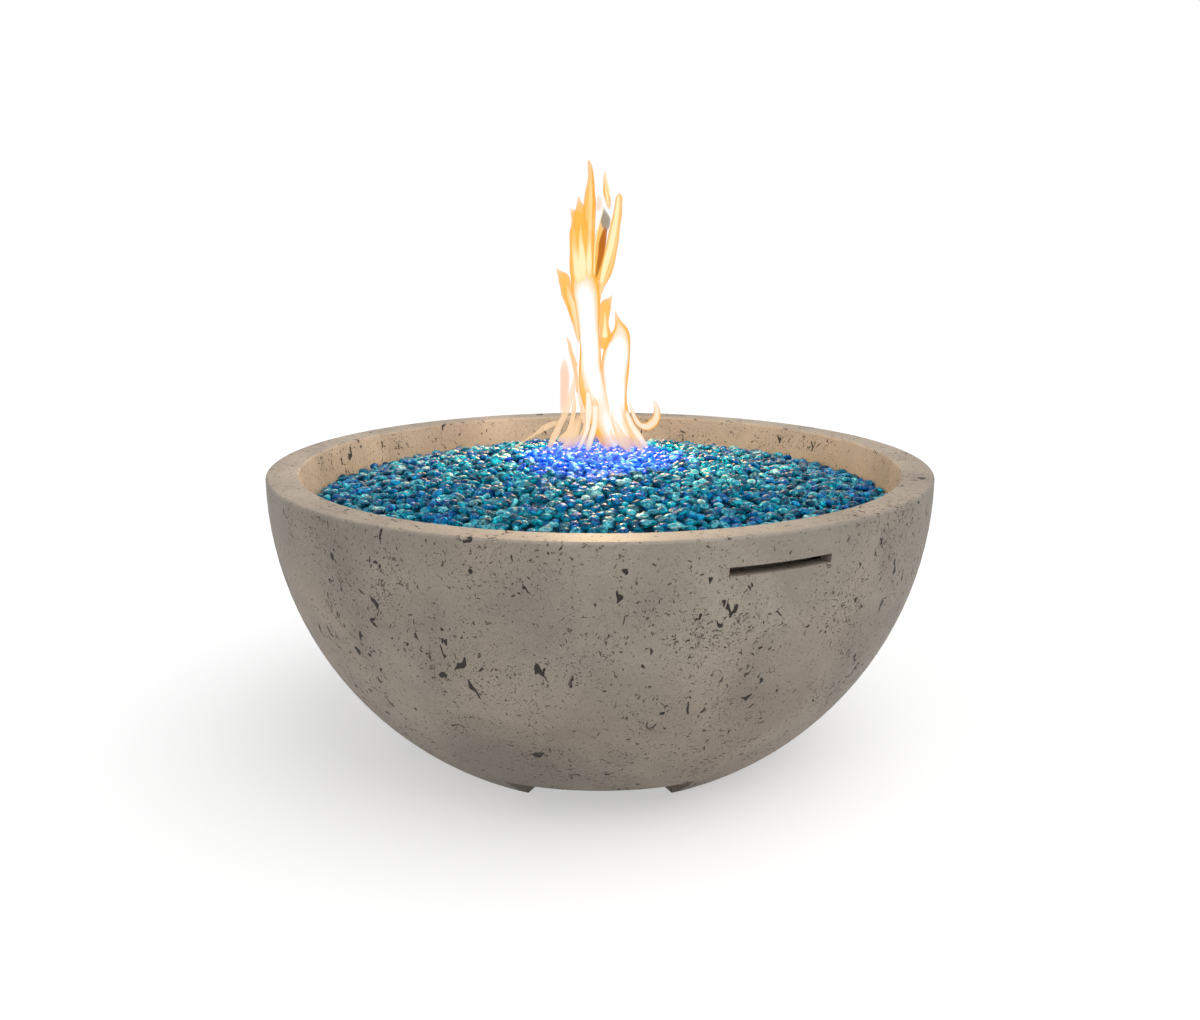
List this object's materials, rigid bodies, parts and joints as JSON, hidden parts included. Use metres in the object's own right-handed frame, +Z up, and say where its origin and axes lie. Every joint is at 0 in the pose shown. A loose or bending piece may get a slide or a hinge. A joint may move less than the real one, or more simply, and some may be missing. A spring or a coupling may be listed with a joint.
{
  "type": "gas fire bowl",
  "caption": "Round concrete fire bowl on notched feet, with a gas burner pan under a heap of glass pebbles, side vents and a key valve.",
  "frame": {"origin": "on the ground, under the middle of the bowl", "axes": "+Z up; -Y is the pictured front with a base notch in its middle; +X is to the right of that view; the key valve is at the rear, on +Y"},
  "size_m": [0.8128, 0.815, 0.368],
  "materials": {
    "concrete": "matte",
    "glass_pebbles": "gloss",
    "stainless_sheet": "satin",
    "stainless_tube": "satin",
    "plated_steel": "satin",
    "cast_brass": "satin",
    "shutter_steel": "satin",
    "flex_hose": "satin",
    "seat_plastic": "satin",
    "ball_chrome": "polished",
    "polished_chrome": "polished"
  },
  "bodies": {
    "bowl": {"bowl_shell": "concrete", "fire_glass_bed": "glass_pebbles", "burner_pan": "stainless_sheet", "ring_saddles": "stainless_sheet", "inlet_strap": "stainless_sheet", "burner_ring": "stainless_tube", "saddle_screws": "plated_steel", "saddle_nuts": "plated_steel", "hub_washer": "plated_steel", "hub_locknut": "plated_steel", "strap_anchors": "plated_steel", "barrel_locknut": "plated_steel", "wall_washer": "plated_steel", "inlet_locknut": "plated_steel", "air_mixer": "cast_brass", "orifice_spud": "cast_brass", "flare_nuts": "cast_brass", "inlet_fitting": "cast_brass", "valve_body": "cast_brass", "packing_gland": "cast_brass", "burner_elbow": "cast_brass", "supply_elbow": "cast_brass", "valve_outlet_elbow": "cast_brass", "valve_inlet_elbow": "cast_brass", "burner_hose": "flex_hose", "inlet_hose": "flex_hose", "valve_seats": "seat_plastic", "escutcheon": "polished_chrome"},
    "air_shutter": {"air_shutter": "shutter_steel"},
    "valve_spindle": {"valve_stem": "ball_chrome", "valve_ball": "ball_chrome"},
    "key": {"gas_key": "polished_chrome"}
  },
  "joints": [
    {"name": "valve_turn", "type": "hinge", "parent": "bowl", "child": "valve_spindle", "pos_m": [0, 0.29011, 0.185], "axis": [0, -1, 0], "range_deg": [0, 90]},
    {"name": "key_pull", "type": "slide", "parent": "valve_spindle", "child": "key", "axis": [0, 1, 0], "range_m": [0, 0.08]},
    {"name": "air_shutter_turn", "type": "hinge", "parent": "bowl", "child": "air_shutter", "pos_m": [0, 0, 0.19], "axis": [0, 0, 1], "range_deg": [0, 45]}
  ]
}
